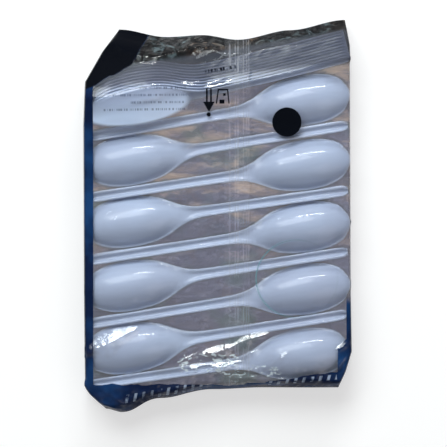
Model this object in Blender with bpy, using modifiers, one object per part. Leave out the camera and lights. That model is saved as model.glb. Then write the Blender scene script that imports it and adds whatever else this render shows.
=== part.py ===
"""A clear film bag of white plastic spoons, nested in ten stacks.

Metres, +Z up. The bag lies on its printed back with its lap seal upwards, +Y is the end where the tipped
stack lies, and the origin is under the middle of the bag.
"""

import math

import bmesh
import bpy
import numpy as np
from mathutils import Matrix, Vector
from mathutils.bvhtree import BVHTree

# One spoon, measured as it lies face down.
SPOON_LENGTH = 0.160
BOWL_LENGTH = 0.0715
BOWL_WIDTH = 0.0302
BOWL_DEPTH = 0.0083
HANDLE_WIDTH = 0.0060
HANDLE_RISE = 0.0036
TROUGH_DEPTH = 0.0013
WALL = 0.0011

# How the spoons are packed.
SPOONS_IN_STACK = 10
SINGLE_SPOONS = 4
NEST_PITCH = 0.0022
RIM_OVERHANG = 0.0009
ROW_GAP = 0.00038
BOWL_RIGHT_SHIFT = 0.0007
BOWL_LEFT_SHIFT = -0.0006
PACK_SHIFT = -0.0152
LAST_ROW_SHIFT = -0.0006
ROW_LEANS = (9.4, 9.1, 8.7, 8.5, 8.6, 8.9, 9.0, 8.8, 8.3)
TIPPED_ROLL = 55.0
TIPPED_SHIFT = 0.0018
TIPPED_GAP = 0.0005

# The bag.
FILM = 0.00025
REST_GAP = 0.0003
TOP_GAP = 0.0009
SIDE_GAP_RIGHT = 0.0006
SIDE_GAP_LEFT = 0.0017
LAP_WIDTH = 0.0155
LAP_RISE = 0.0004
LAP_SHIFT = 0.0119
SEAL_HEIGHT = 0.0085
SEAL_OPENING = 0.0009
FOOT_MARGIN = 0.0052
FOOT_TIP = 0.0150
HEAD_MARGIN = 0.0070
HEAD_DIP = 0.0140
LAP_STEP = 0.0003
END_WAVE = 0.0012
WAVES_ACROSS = 9.0
FOOT_WAVE_START = 1.0
HEAD_WAVE_START = 2.4
BODY_STATIONS = 28

# How the film hangs over the spoons.
HANG_RADIUS = 0.100
HANG_GRID = 0.002
HANG_REACH = 0.0035
SHOULDER = 0.0235
SHOULDER_SHARE = 0.93

# A spoon's stations: place from the tip as a share of the bowl or of the handle, half width as a share of
# the bowl's or the handle's, height of the edge and of the middle as shares of the handle's rise and of the
# bowl's depth, and how far the station's ends bend back, in half widths.
BOWL_STATIONS = (
    (0.000, 0.38, 0.00, 0.10, 0.45),
    (0.080, 0.73, 0.00, 0.52, 0.12),
    (0.190, 0.93, 0.00, 0.85, 0.05),
    (0.400, 1.00, 0.00, 1.00, 0.00),
    (0.600, 0.88, 0.03, 0.87, 0.00),
    (0.745, 0.58, 0.20, 0.62, 0.00),
    (0.865, 0.32, 0.50, 0.42, 0.00),
)
HANDLE_STATIONS = (
    (0.00, 1.08, 0.86, 0.0),
    (0.46, 1.00, 1.00, 0.0),
    (0.955, 1.02, 0.66, 0.0),
    (1.00, 0.60, 0.55, -0.7),
)
WIDEST = 3
ACROSS = (-1.0, -0.62, 0.0, 0.62, 1.0)
DOME_POWER = 2.2

# The bag's section, from the side of the floor up to the lap band: place across as a share of the half
# width, and height as a share of the section's height.
SECTION_FLOOR = (-0.93, -0.72, -0.45, -0.15, 0.15, 0.45, 0.72, 0.93)
SECTION_SIDE = (
    (0.985, 0.0),
    (1.0, 0.05),
    (1.0, 0.36),
    (1.0, 0.70),
    (0.985, 0.80),
    (0.95, 0.885),
    (0.88, 0.945),
    (0.76, 0.98),
    (0.60, 0.995),
    (0.42, 0.995),
    (0.27, 0.995),
)

# The two ends in plan: how far each edge falls short, as a share of the tip or of the dip, at places across.
FOOT_EDGE = ((-1.0, 0.75), (-0.84, 1.0), (-0.45, 0.45), (0.0, 0.08), (0.4, 0.0))
HEAD_EDGE = ((-1.0, 0.42), (-0.55, 0.74), (-0.25, 0.66), (0.06, 0.86), (0.5, 0.45), (1.0, 0.0))

# The sides in plan: distance from the foot or the head, and how far the side is drawn in there.
LEFT_FROM_FOOT = ((-FOOT_TIP, 0.0160), (-0.0040, 0.0038), (0.0, 0.0010), (0.050, 0.0004))
LEFT_FROM_HEAD = ((0.064, 0.0), (0.038, 0.0010), (0.020, 0.0112), (0.006, 0.0215))
RIGHT_FROM_FOOT = ((0.0, 0.0075), (0.010, 0.0030), (0.022, -0.0006), (0.060, 0.0))
RIGHT_FROM_HEAD = ((0.016, 0.0006), (0.0, 0.0035))

# How the film closes: distance from an end, in foot margins or in depths of the tipped stack, and the share
# of the full height there.
FLOOR_RISE = ((0.0, 1.0), (0.35, 0.36), (0.81, 0.0))
FOOT_RISE = ((0.0, 0.0), (0.35, 0.46), (0.81, 0.86), (1.54, 0.97), (2.7, 1.0))
HEAD_RISE = ((0.0, 0.0), (0.155, 0.36), (0.37, 0.62), (0.56, 0.80), (0.78, 0.94), (1.12, 1.0))
HEAD_STATIONS = (3.48, 2.92, 2.48, 1.99, 1.61, 1.21, 0.90, 0.62, 0.37, 0.155, 0.0)

# The mound of film over the tipped stack, by distance from the head in depths of that stack.
BOWL_MOUND = ((0.99, 0.0), (1.80, 1.0), (2.92, 1.0), (4.10, 0.0))
HANDLE_MOUND = ((0.62, 0.0), (1.18, 0.62), (2.11, 0.62), (3.11, 0.0))
HANDLE_SIDE = ((-0.15, 0.0), (0.35, 1.0))


def clear_scene():
    for obj in list(bpy.data.objects):
        bpy.data.objects.remove(obj, do_unlink=True)


def material(name, colour, roughness, alpha=1.0):
    made = bpy.data.materials.new(name)
    made.use_nodes = True
    shader = made.node_tree.nodes["Principled BSDF"]
    shader.inputs["Base Color"].default_value = (*colour, 1.0)
    shader.inputs["Roughness"].default_value = roughness
    shader.inputs["Metallic"].default_value = 0.0
    shader.inputs["Alpha"].default_value = alpha
    return made


def spoon_rows():
    """Each station as (distance from the tip, half width, edge height, middle height, bend)."""
    rows = []
    for place, width, edge, middle, bend in BOWL_STATIONS:
        half = width * BOWL_WIDTH / 2
        rows.append((place * BOWL_LENGTH, half, edge * HANDLE_RISE, middle * BOWL_DEPTH, bend * half))
    handle = SPOON_LENGTH - BOWL_LENGTH
    for place, width, edge, bend in HANDLE_STATIONS:
        half = width * HANDLE_WIDTH / 2
        high = edge * HANDLE_RISE
        rows.append((BOWL_LENGTH + place * handle, half, high, high - TROUGH_DEPTH, bend * half))
    return rows


def spoon_points():
    """The spoon's upper surface, bowl tip towards +X, its length centred on the origin."""
    points = []
    for along, half, edge, middle, bend in spoon_rows():
        for share in ACROSS:
            height = edge + (middle - edge) * (1 - abs(share) ** DOME_POWER)
            points.append((SPOON_LENGTH / 2 - along - bend * share**2, half * share, height))
    return points


def cut_rims(bm, count):
    """Draws the side of a nested run in below each rim, so that every spoon's edge stands out."""
    upright = [edge for edge in bm.edges if abs(edge.verts[0].co.z - edge.verts[1].co.z) > NEST_PITCH]
    upright = [edge for edge in upright if (edge.verts[0].co - edge.verts[1].co).xy.length < FILM]
    tops = {edge: max(vert.co.z for vert in edge.verts) for edge in upright}
    levels = {}
    for edge, top in tops.items():
        levels[tuple(round(c, 6) for c in edge.verts[0].co.xy)] = top
    bmesh.ops.subdivide_edges(bm, edges=upright, cuts=2 * count - 2, use_grid_fill=True)
    bm.normal_update()
    drawn = []
    for vert in bm.verts:
        top = levels.get(tuple(round(c, 6) for c in vert.co.xy))
        if top is not None and round((top - vert.co.z) / (NEST_PITCH / 2)) % 2:
            drawn.append((vert, vert.co - RIM_OVERHANG * Vector((vert.normal.x, vert.normal.y, 0))))
    for vert, place in drawn:
        vert.co = place


def spoon_mesh(name, count):
    """One nested run of spoons: the upper surface of the top one, drawn down to the foot of the last."""
    bm = bmesh.new()
    verts = [bm.verts.new(point) for point in spoon_points()]
    across = len(ACROSS)
    for start in range(0, len(verts) - across, across):
        for i in range(start, start + across - 1):
            bm.faces.new((verts[i], verts[i + 1], verts[i + across + 1], verts[i + across]))
    drop = WALL + (count - 1) * NEST_PITCH
    made = bmesh.ops.extrude_face_region(bm, geom=bm.faces[:])
    low = [item for item in made["geom"] if isinstance(item, bmesh.types.BMVert)]
    bmesh.ops.translate(bm, verts=low, vec=(0, 0, -drop))
    bmesh.ops.recalc_face_normals(bm, faces=bm.faces)
    if count > 1:
        cut_rims(bm, count)
    mesh = bpy.data.meshes.new(name)
    bm.to_mesh(mesh)
    bm.free()
    mesh.shade_smooth()
    mesh.set_sharp_from_angle(angle=math.radians(40))
    return mesh


def add(name, mesh, collection, look):
    obj = bpy.data.objects.new(name, mesh)
    collection.objects.link(obj)
    if not mesh.materials:
        mesh.materials.append(look)
    return obj


def stack_base():
    """Height of the lowest spoon's rim plane above the ground."""
    return FILM + REST_GAP + WALL


def bowl_lever():
    """Distance from the middle of a spoon to the widest place of its bowl."""
    return SPOON_LENGTH / 2 - BOWL_STATIONS[WIDEST][0] * BOWL_LENGTH


def row_step(lean, next_lean):
    """Distance between two neighbouring rows: a bowl and a handle side by side, and what their leans add."""
    side_by_side = BOWL_WIDTH / 2 + HANDLE_WIDTH / 2 + ROW_GAP
    steep = math.radians(max(lean, next_lean))
    turned = abs(math.radians(lean - next_lean)) * bowl_lever()
    return (side_by_side + turned) / math.cos(steep)


def row_place(index):
    """Middle of an upright stack, its lean and whether its bowls point to the right."""
    steps = [row_step(a, b) for a, b in zip(ROW_LEANS, ROW_LEANS[1:])]
    right = index % 2 == 0
    along = BOWL_RIGHT_SHIFT if right else BOWL_LEFT_SHIFT
    if index == len(ROW_LEANS) - 1:
        along += LAST_ROW_SHIFT
    return Vector((along, PACK_SHIFT + sum(steps) / 2 - sum(steps[:index]), 0)), ROW_LEANS[index], right


def upright_stacks(collection, look):
    single = spoon_mesh("spoon", 1)
    lower = spoon_mesh("lower_spoons", SPOONS_IN_STACK - SINGLE_SPOONS)
    for index in range(len(ROW_LEANS)):
        place, lean, right = row_place(index)
        side = "right" if right else "left"
        label = f"{side}_{index // 2 + 1}"
        turn = math.radians(lean + (0 if right else 180))
        for level in range(SINGLE_SPOONS):
            spoon = add(f"spoon_{label}_{level + 1}", single, collection, look)
            rise = stack_base() + (SPOONS_IN_STACK - 1 - level) * NEST_PITCH
            spoon.location = place + Vector((0, 0, rise))
            spoon.rotation_euler = (0, 0, turn)
        block = add(f"lower_spoons_{label}", lower, collection, look)
        rise = stack_base() + (SPOONS_IN_STACK - 1 - SINGLE_SPOONS) * NEST_PITCH
        block.location = place + Vector((0, 0, rise))
        block.rotation_euler = (0, 0, turn)


def reach(points, roll):
    """How far rolled points stand out towards the row in front."""
    return max(-y * math.cos(roll) + z * math.sin(roll) for _, y, z in points)


def tipped_place():
    """Middle and lean of the tipped stack: its bowl rests against the first row's handle, and its handle
    against that row's bowl."""
    roll = math.radians(TIPPED_ROLL)
    points = spoon_points()
    split = len(BOWL_STATIONS) * len(ACROSS)
    at_bowl = HANDLE_WIDTH / 2 + reach(points[:split], roll) + TIPPED_GAP
    at_handle = BOWL_WIDTH / 2 + reach(points[split:], roll) + TIPPED_GAP
    first, lean, _ = row_place(0)
    extra = math.asin((at_handle - at_bowl) / (2 * bowl_lever()))
    along = math.radians(lean)
    away = (at_handle + at_bowl) / 2
    middle = first + away * Vector((-math.sin(along), math.cos(along), 0))
    slide = (TIPPED_SHIFT - middle.x) / math.cos(along)
    return middle + slide * Vector((math.cos(along), math.sin(along), 0)), along + extra


def tipped_frame():
    """Turn and place of the tipped stack's front spoon, with the stack's lowest edge just over the film."""
    middle, lean = tipped_place()
    roll = math.radians(TIPPED_ROLL)
    turn = Matrix.Rotation(lean, 4, "Z") @ Matrix.Rotation(roll, 4, "X") @ Matrix.Rotation(math.pi, 4, "Z")
    back = (SPOONS_IN_STACK - 1) * NEST_PITCH + WALL
    lowest = min((turn @ Vector((x, y, z - back))).z for x, y, z in spoon_points())
    middle.z = FILM + REST_GAP - lowest
    return Matrix.Translation(middle) @ turn


def tipped_stack(collection, look):
    single = spoon_mesh("tipped_spoon", 1)
    frame = tipped_frame()
    for level in range(SPOONS_IN_STACK):
        spoon = add(f"spoon_tipped_{level + 1}", single, collection, look)
        spoon.matrix_world = frame @ Matrix.Translation((0, 0, -level * NEST_PITCH))


def smooth(share):
    share = min(1.0, max(0.0, share))
    return share * share * (3 - 2 * share)


def curve_through(points, x):
    """A smooth rise or fall between given points, level at each of them."""
    if x <= points[0][0]:
        return points[0][1]
    for (x0, y0), (x1, y1) in zip(points, points[1:]):
        if x <= x1:
            return y0 + (y1 - y0) * smooth((x - x0) / (x1 - x0))
    return points[-1][1]


def line_through(points, x):
    return float(np.interp(x, [p[0] for p in points], [p[1] for p in points]))


class Bag:
    """The bag's limits, worked out from the spoons in it."""

    def __init__(self):
        reach_x = SPOON_LENGTH / 2 * math.cos(math.radians(min(ROW_LEANS)))
        self.right = BOWL_RIGHT_SHIFT + reach_x + SIDE_GAP_RIGHT + FILM
        self.left = BOWL_LEFT_SHIFT - reach_x - SIDE_GAP_LEFT + FILM
        self.middle = (self.left + self.right) / 2
        self.half = (self.right - self.left) / 2
        place, lean, _ = row_place(len(ROW_LEANS) - 1)
        turn = Matrix.Rotation(math.radians(lean), 3, "Z")
        bowl = spoon_points()[: len(BOWL_STATIONS) * len(ACROSS)]
        self.foot = place.y + min((turn @ Vector(point)).y for point in bowl) - FOOT_MARGIN
        frame = tipped_frame()
        back = Vector((0, 0, -(SPOONS_IN_STACK - 1) * NEST_PITCH))
        front = [frame @ Vector(point) for point in spoon_points()]
        behind = [frame @ (Vector(point) + back) for point in spoon_points()]
        self.head = max(corner.y for corner in behind) + HEAD_MARGIN
        self.depth = max(corner.y for corner in behind) - max(corner.y for corner in front)
        self.tall = max(corner.z for corner in front) + TOP_GAP + FILM
        self.high = stack_base() + (SPOONS_IN_STACK - 1) * NEST_PITCH + BOWL_DEPTH + TOP_GAP + FILM

    def foot_edge(self, across):
        """Y of the lower end: level on the right, drawn out to a tip on the left."""
        return self.foot - FOOT_TIP * curve_through(FOOT_EDGE, across)

    def head_edge(self, across):
        """Y of the upper end: high at the right corner, low in the middle."""
        return self.head - HEAD_DIP * curve_through(HEAD_EDGE, across)

    def sides(self, y):
        """X of the left and right sides at a distance along the bag."""
        insets = []
        for near_foot, near_head in ((LEFT_FROM_FOOT, LEFT_FROM_HEAD), (RIGHT_FROM_FOOT, RIGHT_FROM_HEAD)):
            outline = [(self.foot + distance, inset) for distance, inset in near_foot]
            outline += [(self.head - distance, inset) for distance, inset in near_head]
            insets.append(line_through(outline, y))
        return self.left + insets[0], self.right - insets[1]


def hang_over(heights, radius):
    """The lowest sheet of a given hanging radius that still lies on every support of an even grid."""
    hung = heights
    for rising in (False, True):
        for axis in (0, 1):
            moved = np.moveaxis(hung, axis, 0)
            places = np.arange(len(moved)) * HANG_GRID
            result = np.empty_like(moved)
            for i, place in enumerate(places):
                sag = ((places - place) ** 2 / (2 * radius))[:, None]
                result[i] = (moved + sag).min(0) if rising else (moved - sag).max(0)
            hung = np.moveaxis(result, 0, axis)
    return hung


def widen(heights):
    """Each support spread to its neighbours, so that flat faces between the film's points clear it too."""
    steps = round(HANG_REACH / HANG_GRID)
    spread = heights.copy()
    for i in range(-steps, steps + 1):
        for j in range(-steps, steps + 1):
            spread = np.maximum(spread, np.roll(heights, (i, j), axis=(0, 1)))
    return spread


class Drape:
    """Height of the film where it hangs between the spoons, read from a grid over the bag."""

    def __init__(self, bag, spoons):
        points = []
        faces = []
        for spoon in spoons:
            start = len(points)
            points += [spoon.matrix_world @ vert.co for vert in spoon.data.vertices]
            faces += [[start + i for i in face.vertices] for face in spoon.data.polygons]
        tree = BVHTree.FromPolygons(points, faces)
        self.xs = np.arange(bag.left - HANG_REACH, bag.right + HANG_REACH, HANG_GRID)
        self.ys = np.arange(bag.foot - FOOT_TIP - HANG_REACH, bag.head + HANG_REACH, HANG_GRID)
        held = np.zeros((len(self.xs), len(self.ys)))
        for i, x in enumerate(self.xs):
            for j, y in enumerate(self.ys):
                hit = tree.ray_cast(Vector((x, y, 2 * bag.tall)), Vector((0, 0, -1)))[0]
                held[i, j] = hit.z + TOP_GAP + FILM if hit else 0.0
        held = widen(held)
        for j, y in enumerate(self.ys):
            left, right = bag.sides(y)
            share = (2 * self.xs - left - right) / (right - left)
            held[:, j] = np.where(np.abs(share) > SHOULDER_SHARE, np.maximum(held[:, j], SHOULDER), held[:, j])
        self.heights = hang_over(held, HANG_RADIUS)

    def at(self, x, y):
        i = min(max((x - self.xs[0]) / HANG_GRID, 0.0), len(self.xs) - 1.001)
        j = min(max((y - self.ys[0]) / HANG_GRID, 0.0), len(self.ys) - 1.001)
        a, b = i % 1.0, j % 1.0
        near = self.heights[int(i) : int(i) + 2, int(j) : int(j) + 2]
        return float(np.array((1 - a, a)) @ near @ np.array((1 - b, b)))


def bag_profile(bag, across, from_foot, from_head):
    """Underside of the bag and the highest that its film may lie, by a place's distances from the ends."""
    at_foot = from_foot < from_head
    lift = line_through(FLOOR_RISE, min(from_foot, from_head) / FOOT_MARGIN)
    wave = END_WAVE * math.sin(WAVES_ACROSS * across + (FOOT_WAVE_START if at_foot else HEAD_WAVE_START))
    floor = lift * (SEAL_HEIGHT + wave)
    if at_foot:
        body = line_through(FOOT_RISE, from_foot / FOOT_MARGIN)
    else:
        body = line_through(HEAD_RISE, from_head / bag.depth)
    over_bowls = curve_through(BOWL_MOUND, from_head / bag.depth)
    over_handles = curve_through(HANDLE_MOUND, from_head / bag.depth)
    handle_side = curve_through(HANDLE_SIDE, across)
    mound = over_bowls + (over_handles - over_bowls) * handle_side
    top = bag.high + (bag.tall - bag.high) * mound
    return floor, floor + SEAL_OPENING + (top - SEAL_OPENING - floor) * body


def lap_edges(bag):
    """The lap band's left and right edges, as shares of the bag's half width."""
    return [(LAP_SHIFT + side * LAP_WIDTH / 2 - bag.middle) / bag.half for side in (-1, 1)]


def section_ring(bag):
    """Places round the bag's section, from the left side of the floor to the right and back over the top,
    with the lap band's edges doubled, so that it stands up as a step."""
    step = LAP_STEP / bag.half
    lap_left, lap_right = lap_edges(bag)
    ring = [(share, 0.0) for share in SECTION_FLOOR]
    ring += list(SECTION_SIDE)
    ring += [(lap_right + step, 1.0), (lap_right, 1.0), (lap_left, 1.0), (lap_left - step, 1.0)]
    ring += [(-share, level) for share, level in reversed(SECTION_SIDE)]
    return ring


def bag_stations(bag):
    """Distances of the lofted sections: from the foot, along the body, then from the head."""
    foot = [("foot", share * FOOT_MARGIN) for share, _ in FOOT_RISE]
    body = [("body", (i + 1) / (BODY_STATIONS + 1)) for i in range(BODY_STATIONS)]
    head = [("head", share * bag.depth) for share in HEAD_STATIONS]
    return foot + body + head


def bag_point(bag, drape, station, share, level):
    kind, value = station
    foot = bag.foot_edge(share)
    head = bag.head_edge(share)
    low = foot + FOOT_RISE[-1][0] * FOOT_MARGIN
    high = head - HEAD_STATIONS[0] * bag.depth
    y = {"foot": foot + value, "head": head - value, "body": low + (high - low) * value}[kind]
    left, right = bag.sides(y)
    floor, top = bag_profile(bag, share, y - foot, head - y)
    x = (left + right) / 2 + share * (right - left) / 2
    highest = floor + (top - floor) * level
    return x, y, min(highest, drape.at(x, y)) if level > SECTION_SIDE[1][1] else highest


def bag_mesh(bag, drape):
    """The bag as a lofted tube of film, hanging over the spoons and flattened to a slit at both ends."""
    lap_left, lap_right = lap_edges(bag)
    ring = section_ring(bag)
    bm = bmesh.new()
    loops = []
    for station in bag_stations(bag):
        loop = []
        for share, level in ring:
            x, y, z = bag_point(bag, drape, station, share, level)
            on_lap = level == 1.0 and lap_left <= share <= lap_right
            loop.append(bm.verts.new((x, y, z + (LAP_RISE if on_lap else 0.0))))
        loops.append(loop)
    for first, second in zip(loops, loops[1:]):
        for i in range(len(ring)):
            j = (i + 1) % len(ring)
            bm.faces.new((first[i], second[i], second[j], first[j]))
    bmesh.ops.recalc_face_normals(bm, faces=bm.faces)
    mesh = bpy.data.meshes.new("film_bag")
    bm.to_mesh(mesh)
    bm.free()
    mesh.shade_smooth()
    return mesh


def film_bag(collection, look):
    bpy.context.view_layer.update()
    under_film = [spoon for spoon in collection.objects if not spoon.name.startswith("lower")]
    bag = Bag()
    film = add("film_bag", bag_mesh(bag, Drape(bag, under_film)), collection, look)
    shell = film.modifiers.new("film", "SOLIDIFY")
    shell.thickness = FILM
    shell.offset = -1.0
    return film


def main():
    clear_scene()
    collection = bpy.data.collections.new("plastic_cutlery_pack")
    bpy.context.scene.collection.children.link(collection)
    white = material("white_plastic", (0.78, 0.80, 0.86), 0.22)
    clear = material("clear_film", (0.62, 0.64, 0.70), 0.12, alpha=0.35)
    upright_stacks(collection, white)
    tipped_stack(collection, white)
    film_bag(collection, clear)


main()
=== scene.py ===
import math

import bmesh
import bpy
import numpy as np
from mathutils import Matrix, Vector, noise
from mathutils.bvhtree import BVHTree


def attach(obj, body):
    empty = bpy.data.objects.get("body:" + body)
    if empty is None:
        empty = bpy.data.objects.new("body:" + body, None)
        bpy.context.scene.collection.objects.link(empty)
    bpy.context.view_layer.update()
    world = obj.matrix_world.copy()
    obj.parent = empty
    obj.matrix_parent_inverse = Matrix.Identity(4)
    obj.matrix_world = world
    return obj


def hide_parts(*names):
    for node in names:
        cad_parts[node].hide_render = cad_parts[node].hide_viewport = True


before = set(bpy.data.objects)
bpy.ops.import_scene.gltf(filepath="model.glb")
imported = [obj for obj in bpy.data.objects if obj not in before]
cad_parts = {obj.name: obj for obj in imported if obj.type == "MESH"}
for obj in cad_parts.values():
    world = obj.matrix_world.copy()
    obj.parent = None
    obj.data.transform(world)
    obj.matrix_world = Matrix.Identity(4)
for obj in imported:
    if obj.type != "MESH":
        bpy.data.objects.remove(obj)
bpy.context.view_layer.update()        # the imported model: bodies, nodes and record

mm = 0.001

# The photograph: its pixels across the lying pack, at what height they are taken, and where its middle looks.
photo = {
    "pixelSize": 0.605 * mm,
    "zeroColumn": 217.5,
    "zeroRow": 215.5,
    "middle": 223.5,
    "pixels": 447,
    "height": 12 * mm,
    "distance": 2.4,
    "sensor": 36.0,
    "filmScale": 0.992,
}

# One spoon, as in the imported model, and how finely the good and the plain ones are divided.
spoon = {
    "length": 160 * mm,
    "bowlLength": 71.5 * mm,
    "bowlWidth": 30.2 * mm,
    "bowlDepth": 8.3 * mm,
    "handleWidth": 6.0 * mm,
    "handleRise": 3.6 * mm,
    "troughDepth": 1.3 * mm,
    "wall": 1.1 * mm,
    "lipRise": 0.10 * mm,
    "rimRound": 0.22 * mm,
    "domePower": 2.2,
    "fine": 2,
    "coarse": 1,
}

# Where the spoons lie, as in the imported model.
stack = {
    "count": 10,
    "single": 4,
    "pitch": 2.2 * mm,
    "base": 1.65 * mm,
    "rowGap": 0.38 * mm,
    "rightShift": 0.7 * mm,
    "leftShift": -0.6 * mm,
    "lastShift": -0.6 * mm,
    "packShift": -15.2 * mm,
    "leans": (9.4, 9.1, 8.7, 8.5, 8.6, 8.9, 9.0, 8.8, 8.3),
    "widest": 0.400,
    "tippedRoll": 55.0,
    "tippedShift": 1.8 * mm,
    "tippedGap": 0.5 * mm,
    "floor": 0.55 * mm,
    "looseness": 0.35 * mm,
    "looseTurn": 0.35,
    "looseRoll": 1.2,
}

# Place along the bowl or the handle, half width, edge height, middle height and end bend, as shares.
bowlStations = (
    (0.000, 0.42, 0.00, 0.10, 0.40),
    (0.030, 0.60, 0.00, 0.28, 0.22),
    (0.085, 0.76, 0.00, 0.52, 0.12),
    (0.190, 0.93, 0.00, 0.85, 0.05),
    (0.300, 0.99, 0.00, 0.97, 0.00),
    (0.400, 1.00, 0.00, 1.00, 0.00),
    (0.500, 0.96, 0.01, 0.97, 0.00),
    (0.600, 0.88, 0.03, 0.87, 0.00),
    (0.680, 0.74, 0.10, 0.75, 0.00),
    (0.745, 0.58, 0.20, 0.62, 0.00),
    (0.805, 0.43, 0.34, 0.51, 0.00),
    (0.865, 0.32, 0.50, 0.42, 0.00),
    (0.930, 0.25, 0.70, 0.42, 0.00),
)
handleStations = (
    (0.00, 1.08, 0.86, 0.0),
    (0.23, 1.02, 0.96, 0.0),
    (0.46, 1.00, 1.00, 0.0),
    (0.72, 1.01, 0.88, 0.0),
    (0.93, 1.03, 0.68, 0.0),
    (0.985, 0.92, 0.62, -0.15),
    (1.00, 0.60, 0.55, -0.70),
)
bowlAcross = (0.0, 0.34, 0.62, 0.82, 0.93, 1.0)
handleAcross = (0.0, 0.22, 0.42, 0.62, 0.90, 1.0)
handleSection = (-1.0, -0.94, -0.52, 0.0, 0.02, -0.15)    # heights from the edge, in trough depths


def clearSelection():
    if bpy.context.object and bpy.context.object.mode == "EDIT":
        bpy.ops.object.mode_set(mode="OBJECT")
    bpy.ops.object.select_all(action="DESELECT")


def makeActive(piece):
    clearSelection()
    piece.select_set(True)
    bpy.context.view_layer.objects.active = piece


def turnBy(degrees, axis="Z"):
    return Matrix.Rotation(math.radians(degrees), 4, axis)


def addModifier(piece, kind, **settings):
    makeActive(piece)
    added = piece.modifiers.new(kind.lower(), kind)
    for name, value in settings.items():
        setattr(added, name, value)
    bpy.ops.object.modifier_apply(modifier=added.name)


def editWhole(piece, operator, **settings):
    makeActive(piece)
    bpy.ops.object.mode_set(mode="EDIT")
    bpy.ops.mesh.select_all(action="SELECT")
    operator(**settings)
    bpy.ops.object.mode_set(mode="OBJECT")


def pickVertices(piece, indices):
    bpy.ops.mesh.select_all(action="DESELECT")
    mesh = bmesh.from_edit_mesh(piece.data)
    mesh.verts.ensure_lookup_table()
    for index in indices:
        mesh.verts[index].select = True
    mesh.select_flush(True)
    bmesh.update_edit_mesh(piece.data)


def spoonStations():
    rows = []
    for place, width, edge, middle, bend in bowlStations:
        half = width * spoon["bowlWidth"] / 2
        grip = max(0.0, (place - 0.60) / 0.40)
        rows.append((place * spoon["bowlLength"], half, edge * spoon["handleRise"],
                     middle * spoon["bowlDepth"], bend * half, grip))
    handle = spoon["length"] - spoon["bowlLength"]
    for place, width, edge, bend in handleStations:
        half = width * spoon["handleWidth"] / 2
        high = edge * spoon["handleRise"]
        rows.append((spoon["bowlLength"] + place * handle, half, high, high - spoon["troughDepth"],
                     bend * half, 1.0))
    return rows


def sectionHeight(ring, edge, middle, grip):
    share = bowlAcross[ring] / bowlAcross[-2]
    dome = edge + (middle - edge) * (1 - share ** spoon["domePower"]) if share < 1 else edge
    if ring == len(bowlAcross) - 2:
        dome = edge + spoon["lipRise"]
    channel = edge + handleSection[ring] * spoon["troughDepth"]
    return dome + (channel - dome) * grip


# A flat grid is drawn out station by station, smoothed, trued to size and given its wall.
def modelSpoon(name, levels):
    rows = spoonStations()
    rings = len(bowlAcross)
    across = 2 * (rings - 1)
    clearSelection()
    bpy.ops.mesh.primitive_grid_add(x_subdivisions=len(rows) - 1, y_subdivisions=across, size=2)
    piece = bpy.context.object
    piece.name = name
    bpy.ops.object.mode_set(mode="EDIT")
    for station, (along, half, edge, middle, bend, grip) in enumerate(rows):
        for ring in range(rings):
            share = bowlAcross[ring] + (handleAcross[ring] - bowlAcross[ring]) * grip
            startX = 2 * station / (len(rows) - 1) - 1
            pair = {(rings - 1 + side * ring) * len(rows) + station for side in (-1, 1)}
            pickVertices(piece, pair)
            if ring:
                widen = half * share * (rings - 1) / ring
                bpy.ops.transform.resize(value=(1, widen, 1), center_override=(0, 0, 0))
            reach = spoon["length"] / 2 - along - bend * share**2
            high = sectionHeight(ring, edge, middle, grip)
            bpy.ops.transform.translate(value=(reach - startX, 0, high))
    editWhole(piece, bpy.ops.mesh.flip_normals)
    addModifier(piece, "SUBSURF", levels=levels, render_levels=levels)
    trueToSize(piece)
    addModifier(piece, "SOLIDIFY", thickness=spoon["wall"], offset=-1.0)
    if levels > 1:
        addModifier(piece, "BEVEL", width=spoon["rimRound"], segments=2, limit_method="ANGLE",
                    angle_limit=math.radians(55))
    bpy.ops.object.shade_smooth_by_angle(angle=math.radians(45))
    return piece


def trueToSize(piece):
    places = np.empty(len(piece.data.vertices) * 3)
    piece.data.vertices.foreach_get("co", places)
    places = places.reshape(-1, 3)
    low, high = places.min(0), places.max(0)
    wanted = np.array((spoon["length"], spoon["bowlWidth"], spoon["bowlDepth"]))
    places = (places - (low + high) / 2) * wanted / (high - low)
    places[:, 2] += spoon["bowlDepth"] / 2
    piece.data.vertices.foreach_set("co", places.ravel())
    piece.data.update()


def bowlLever():
    return spoon["length"] / 2 - stack["widest"] * spoon["bowlLength"]


def rowStep(lean, nextLean):
    beside = spoon["bowlWidth"] / 2 + spoon["handleWidth"] / 2 + stack["rowGap"]
    turned = abs(math.radians(lean - nextLean)) * bowlLever()
    return (beside + turned) / math.cos(math.radians(max(lean, nextLean)))


def rowPlace(index):
    leans = stack["leans"]
    steps = [rowStep(a, b) for a, b in zip(leans, leans[1:])]
    right = index % 2 == 0
    along = stack["rightShift"] if right else stack["leftShift"]
    if index == len(leans) - 1:
        along += stack["lastShift"]
    down = stack["packShift"] + sum(steps) / 2 - sum(steps[:index])
    return Vector((along, down, 0)), leans[index], right


def corePoints(stations):
    points = []
    for along, half, edge, middle, bend, grip in stations:
        for share in (-1.0, -0.62, 0.0, 0.62, 1.0):
            high = edge + (middle - edge) * (1 - abs(share) ** spoon["domePower"])
            points.append(Vector((spoon["length"] / 2 - along - bend * share**2, half * share, high)))
    return points


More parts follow.
